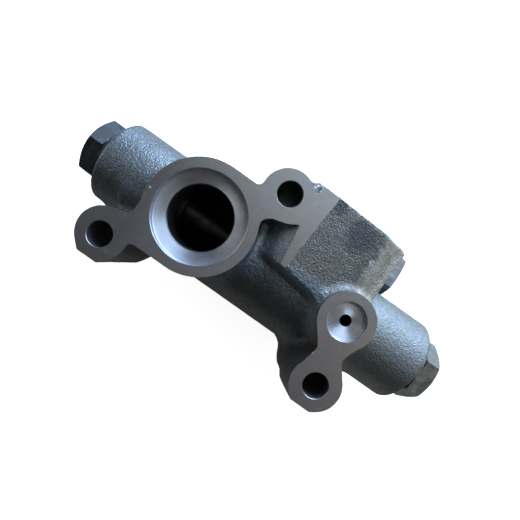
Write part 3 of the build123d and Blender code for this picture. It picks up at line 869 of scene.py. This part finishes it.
def make_casting():
    """The machined casting: cast skin first, then every cut that the real one gets."""
    skin, skin_faces = cast_skin()
    piece = outward(mesh_object("casting", skin, skin_faces))
    materials = [
        cast_iron(),
        milled(),
        turned("main_port_floor", (0, 0)),
        turned("pilot_port_floor", PILOT),
        bored("oiled_wall", OILED_WALL),
        cored(),
        faced(),
        # Its very dark tones are painted shade in the bolt holes.
        bored("drilled_wall_shade", DRILLED_WALL_SHADE, metallic=0.0, roughness=0.7),
    ]
    for material in materials:
        piece.data.materials.append(material)
    face_slot, main_slot, pilot_slot, bore_slot, core_slot, end_slot, drill_slot = range(1, 8)

    over = 300.0
    cut(piece, box_mesh("face_cut", (-over, -over, 0), (over, over, over)), face_slot)
    cut(piece, box_mesh("foot_cut", (-over, -over, -over), (over, 22, FOOT_Z)), end_slot)

    pilot = (*PILOT, 0)
    cut(piece, lathe("main_recess_cut", recess_rows(MAIN_RECESS, 0.25, 0.3), 192), main_slot)
    cut(piece, lathe("main_port_cut", hole_rows(MAIN_PORT_R, MAIN_RECESS[1], 0.4), 192), bore_slot)
    cut(piece, lathe("pilot_recess_cut", recess_rows(PILOT_RECESS, 0.15, 0.15), 128, at=pilot), pilot_slot)
    pilot_hole = hole_rows(PILOT_HOLE_R, PILOT_RECESS[1], 0.15)
    cut(piece, lathe("pilot_hole_cut", pilot_hole, 64, at=pilot), bore_slot)

    behind = FOOT_Z - 3
    for index, (place, length) in enumerate(zip(BOLTS, COLUMNS)):
        mouth = [(0, PAST), (BOLT_R + 0.2, PAST), (BOLT_R + 0.2, 0), (BOLT_R - 0.1, -0.3), (0, -0.3)]
        hole = [(0, 0), (BOLT_R, 0), (BOLT_R, -length)]
        hole += [(SPOT_FACE_R, -length), (SPOT_FACE_R, behind), (0, behind)]
        cut(piece, lathe(f"bolt_mouth_{index}", mouth, 64, at=(*place, 0)), face_slot)
        cut(piece, lathe(f"bolt_cut_{index}", hole, 64, at=(*place, 0)), drill_slot)

    left, right = BARREL
    long_axis = (0, 0, AXIS_Z)
    left_end = [(0, left - PAST), (FACE_CUT_R, left - PAST), (FACE_CUT_R, left), (0, left)]
    right_end = [(0, right), (FACE_CUT_R, right), (FACE_CUT_R, right + PAST), (0, right + PAST)]
    cut(piece, lathe("left_face_cut", left_end, 64, "X", long_axis), end_slot)
    cut(piece, lathe("right_face_cut", right_end, 64, "X", long_axis), end_slot)
    cut(piece, lathe("long_bore_cut", long_bore_rows(), 96, "X", long_axis), bore_slot)

    end = BLOCK_X[1]
    relief_axis = (0, RELIEF_Y, RELIEF_Z)
    relief_end = [(0, end), (RELIEF_R - 1, end), (RELIEF_R - 1, end + PAST), (0, end + PAST)]
    short_bore = [(0, INLET[0]), (INLET_R, INLET[0]), (INLET_R, INLET[1]), (RELIEF_BORE_R, INLET[1])]
    short_bore += [(RELIEF_BORE_R, end - THREAD_LENGTH)] + thread_rows(end)
    cut(piece, lathe("relief_face_cut", relief_end, 64, "X", relief_axis), end_slot)
    cut(piece, lathe("short_bore_cut", short_bore, 96, "X", relief_axis), bore_slot)

    way = Vector((PASSAGE_SKEW, RELIEF_Y, RELIEF_Z - AXIS_Z)).normalized()
    crossing = ((INLET[0] + INLET[1]) / 2, RELIEF_Y, RELIEF_Z)
    spot_r = CUP_R + 2
    passage = [(0, -30), (PASSAGE_R, -30), (PASSAGE_R, 12), (CUP_R, 12), (CUP_R, 17)]
    passage += [(spot_r, 17), (spot_r, 24), (0, 24)]
    cut(piece, lathe("passage_cut", passage, 64, way, crossing), bore_slot)
    drain_low, drain_high = (DRAIN[0], -DRAIN_HALF, FOOT_Z - 3), (DRAIN[1], DRAIN_HALF, AXIS_Z)
    cut(piece, box_mesh("drain_cut", drain_low, drain_high), core_slot)

    crease(piece, plane_slots=(face_slot, end_slot))
    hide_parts("valve_body")
    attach(piece, "housing")


def hex_plug(node, face, outward_x, turn, pocket_r, pocket_depth, material, y=0.0, z=AXIS_Z, bevel=30):
    """Hexagon screw plug with a chamfered head, a collar and a hollow shank. The bevel is in degrees."""
    steps = 144
    flat_r = 0.95 * HEX_ACROSS / 2
    angles = [2 * math.pi * i / steps for i in range(steps)]
    radii = [HEX_ACROSS / 2 / math.cos(a % (math.pi / 3) - math.pi / 6) for a in angles]
    shoulder = [HEAD_TOP - max(r - flat_r, 0) * math.tan(math.radians(bevel)) for r in radii]
    pocket_end = SHANK_END + pocket_depth
    head = [(0, HEAD_TOP), (flat_r - 0.3, HEAD_TOP), (flat_r, HEAD_TOP - 0.04), (radii, shoulder)]
    head += [(radii, COLLAR_TOP + 0.25), ([r - 0.2 for r in radii], COLLAR_TOP + 0.05)]
    collar = [(COLLAR_R - 0.5, COLLAR_TOP), (COLLAR_R, COLLAR_TOP - 0.4)]
    collar += [(COLLAR_R, 0.4), (COLLAR_R - 0.4, 0)]
    shank = [(SHANK_R + 0.25, 0), (SHANK_R, -0.3), (SHANK_R, SHANK_END + 1), (SHANK_R - 1, SHANK_END)]
    pocket = [(pocket_r, SHANK_END), (pocket_r, pocket_end), (0, pocket_end)]
    piece = lathe(node + "_turned", head + collar + shank + pocket, steps, "X")
    flip = Matrix.Rotation(math.pi if outward_x < 0 else 0, 4, "Z")
    spin = Matrix.Rotation(math.radians(30 - turn), 4, "X")
    piece.data.transform(Matrix.Translation(Vector((face, y, z)) * MM) @ spin @ flip)
    outward(piece)
    piece.data.materials.append(material)
    crease(piece, 20)
    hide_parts(node)
    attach(piece, "housing")


def coil_spring(node, span, coil_r, wire_r, turns, y, z, material):
    """Round wire spring."""
    around, along = 14, 44
    start, end = span
    points, faces = [], []
    total = turns * along
    for i in range(total + 1):
        part = i / total
        angle = 2 * math.pi * turns * part
        middle = start + wire_r + (end - start - 2 * wire_r) * part
        for j in range(around):
            side = 2 * math.pi * j / around
            r = coil_r - wire_r + wire_r * math.cos(side)
            x = middle + wire_r * math.sin(side)
            points.append((x, y + r * math.cos(angle), z + r * math.sin(angle)))
    for i in range(total):
        for j in range(around):
            k = (j + 1) % around
            faces.append((i * around + j, i * around + k, (i + 1) * around + k, (i + 1) * around + j))
    faces.append(tuple(range(around)))
    faces.append(tuple(total * around + j for j in reversed(range(around))))
    piece = outward(mesh_object(node + "_wire", points, faces))
    piece.data.materials.append(material)
    crease(piece, 50)
    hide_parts(node)
    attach(piece, "housing")
    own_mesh(piece)


def spool(material):
    """Ground control spool with its lands, stem, nose and spring pocket."""
    edge = 0.5
    pocket_r, pocket_floor = SPOOL_POCKET
    nose_r, nose_end = NOSE
    rows = [(0, pocket_floor), (pocket_r, pocket_floor), (pocket_r, LANDS[0][0])]
    for start, end in LANDS:
        if start > pocket_floor:
            rows.append((STEM_R, start))
        rows += [(LAND_R - edge, start), (LAND_R, start + edge), (LAND_R, end - edge), (LAND_R - edge, end)]
        rows.append((nose_r if (start, end) == LANDS[-1] else STEM_R, end))
    rows += [(nose_r, nose_end), (0, nose_end)]
    piece = outward(lathe("control_spool_ground", rows, 96, "X", (0, 0, AXIS_Z)))
    piece.data.materials.append(material)
    crease(piece)
    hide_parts("control_spool")
    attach(piece, "spool")


def area(name, place, target, size, power, colour):
    """Rectangular lamp that looks at a point."""
    light = bpy.data.lights.new(name, "AREA")
    light.shape = "RECTANGLE"
    light.size, light.size_y = size
    light.energy = power
    light.color = colour
    lamp = bpy.data.objects.new(name, light)
    bpy.context.scene.collection.objects.link(lamp)
    lamp.location = place
    lamp.rotation_euler = (Vector(target) - Vector(place)).to_track_quat("-Z", "Y").to_euler()


def light_path(tree):
    """1 for what the camera sees directly, 0 for bounced light."""
    return tree.nodes.new("ShaderNodeLightPath").outputs["Is Camera Ray"]


# Each lamp has an azimuth and a height in degrees, a size in metres, watts and a colour. Azimuth 90 is beyond
# the block.
LAMPS = [
    ("window", 80, 20, (1.05, 0.45), 24.0, (0.52, 0.71, 0.98)),
    ("upper_window", 75, 50, (0.75, 0.45), 1.9, (0.9, 1.0, 0.9)),
    ("left_lamp", 180, 20, (0.45, 0.45), 1.3, (1.0, 1.0, 1.0)),
    ("right_lamp", 0, 50, (0.45, 0.45), 0.5, (1.0, 0.95, 0.9)),
    ("ceiling", 90, 82, (0.45, 0.45), 0.35, (1.0, 0.95, 0.9)),
]
LAMP_TARGET = Vector((0.03, 0, -0.02))
LAMP_DISTANCE = 0.9
AMBIENT = (0.025, 0.023, 0.021)

# The photograph's camera, solved from its outline. Its place is in metres, its turns in degrees, and its lens
# and sensor in millimetres.
EYE = (0.0243, -0.00134, 0.12932)
EYE_TURNS = (("Z", -35.27), ("Y", 0.81), ("X", 0.09))
LENS = 22.741
SENSOR = 36.0
LENS_SHIFT = (0.01684, -0.0027)


def stage():
    """Floor and room that the camera sees as white, but that throw back little light, and the lamps.

    In bounced light the floor is warm, darker towards -Y, and glows faintly far out on that side.
    """
    reach = 1500
    floor = box_mesh("floor", (-reach, -reach, FOOT_Z - 6), (reach, reach, FOOT_Z - 0.02))
    s = Shader("floor_paper", 0.0, 0.8)
    seen = light_path(s.material.node_tree)
    paper = s.mix(s.noise(40, 2), (0.66, 0.66, 0.66), (0.68, 0.68, 0.68))
    card = s.mix(s.fade("Y", -20, 40), (0.28, 0.25, 0.21), (0.85, 0.74, 0.6))
    floor.data.materials.append(s.done(s.mix(seen, card, paper)))
    glow = s.fade("Y", -50, -110, 0.04, 0.35)
    s.put(s.math("MAXIMUM", seen, glow), s.surface.inputs["Emission Strength"])
    s.surface.inputs["Emission Color"].default_value = (0.9, 0.9, 0.9, 1.0)
    world = bpy.data.worlds.new("soft_room")
    world.use_nodes = True
    tree = world.node_tree
    shade = tree.nodes.new("ShaderNodeMix")
    shade.data_type = "RGBA"
    tree.links.new(light_path(tree), shade.inputs[0])
    shade.inputs[6].default_value = (*AMBIENT, 1.0)
    shade.inputs[7].default_value = (1.0, 1.0, 1.0, 1.0)
    tree.links.new(shade.outputs[2], tree.nodes["Background"].inputs[0])
    bpy.context.scene.world = world
    for name, azimuth, height, size, power, colour in LAMPS:
        a, h = math.radians(azimuth), math.radians(height)
        way = Vector((math.cos(a) * math.cos(h), math.sin(a) * math.cos(h), math.sin(h)))
        area(name, LAMP_TARGET + way * LAMP_DISTANCE, LAMP_TARGET, size, power, colour)


def camera():
    """The photograph's view, nearly straight down on the face, with the long bore falling to the right."""
    turn = Matrix.Identity(3)
    for axis, degrees in EYE_TURNS:
        turn = turn @ Matrix.Rotation(math.radians(degrees), 3, axis)
    lens = bpy.data.cameras.new("camera")
    lens.sensor_width = SENSOR
    lens.lens = LENS
    lens.shift_x, lens.shift_y = LENS_SHIFT
    lens.clip_start = 0.005
    eye = bpy.data.objects.new("camera", lens)
    bpy.context.scene.collection.objects.link(eye)
    eye.matrix_world = Matrix.Translation(EYE) @ turn.transposed().to_4x4()
    bpy.context.scene.camera = eye


camera()
make_casting()
blue_black = plug_steel("plug_blue_black", (0.05, 0.058, 0.07), (0.15, 0.168, 0.195), (0.09, 0.082, 0.07))
grey_green = plug_steel("plug_grey_green", (0.13, 0.136, 0.13), (0.23, 0.238, 0.225), (0.19, 0.172, 0.14))
slate = plug_steel("plug_slate", (0.09, 0.1, 0.115), (0.17, 0.185, 0.21), (0.13, 0.12, 0.11))
hex_plug("spring_plug", BARREL[0] - SEAL, -1, turn=6, pocket_r=8.5, pocket_depth=18, material=blue_black)
hex_plug("pilot_plug", BARREL[1] + SEAL, 1, turn=25, pocket_r=5.0, pocket_depth=16, material=grey_green)
hex_plug(
    "relief_plug", BLOCK_X[1] + SEAL, 1, turn=40, pocket_r=8.5, pocket_depth=18, material=slate,
    y=RELIEF_Y, z=RELIEF_Z, bevel=12)
# Painted shade: the ground steel is near black so that the spool looks dim deep in its bore.
ground = steel("ground_steel", (0.05, 0.052, 0.056), (0.08, 0.083, 0.088), 0.48, 1.0)
spring_steel = steel("spring_steel", (0.16, 0.165, 0.175), (0.24, 0.245, 0.26), 0.35)
turned_steel = steel("turned_steel", (0.35, 0.36, 0.38), (0.45, 0.46, 0.48), 0.3)
seal_metal = steel("seal_ring", (0.10, 0.07, 0.05), (0.16, 0.105, 0.075), 0.5, 0.7)
spool(ground)
coil_spring(
    "control_spring", CONTROL_SPRING, coil_r=8.0, wire_r=1.2, turns=8,
    y=0, z=AXIS_Z, material=spring_steel)
coil_spring(
    "relief_spring", RELIEF_SPRING, coil_r=6.0, wire_r=0.8, turns=7,
    y=RELIEF_Y, z=RELIEF_Z, material=spring_steel)

# The pieces that are shown as CAD made them only get their finish.
finishes = {"seal_ring": seal_metal, "ground_steel": ground, "turned_steel": turned_steel}
for part in frame["record"]["subparts"]:
    piece = frame["nodes"][part["node"]]
    if part["material_slot"] in finishes:
        piece.data.materials.clear()
        piece.data.materials.append(finishes[part["material_slot"]])
stage()
bpy.context.scene.view_settings.view_transform = "Standard"
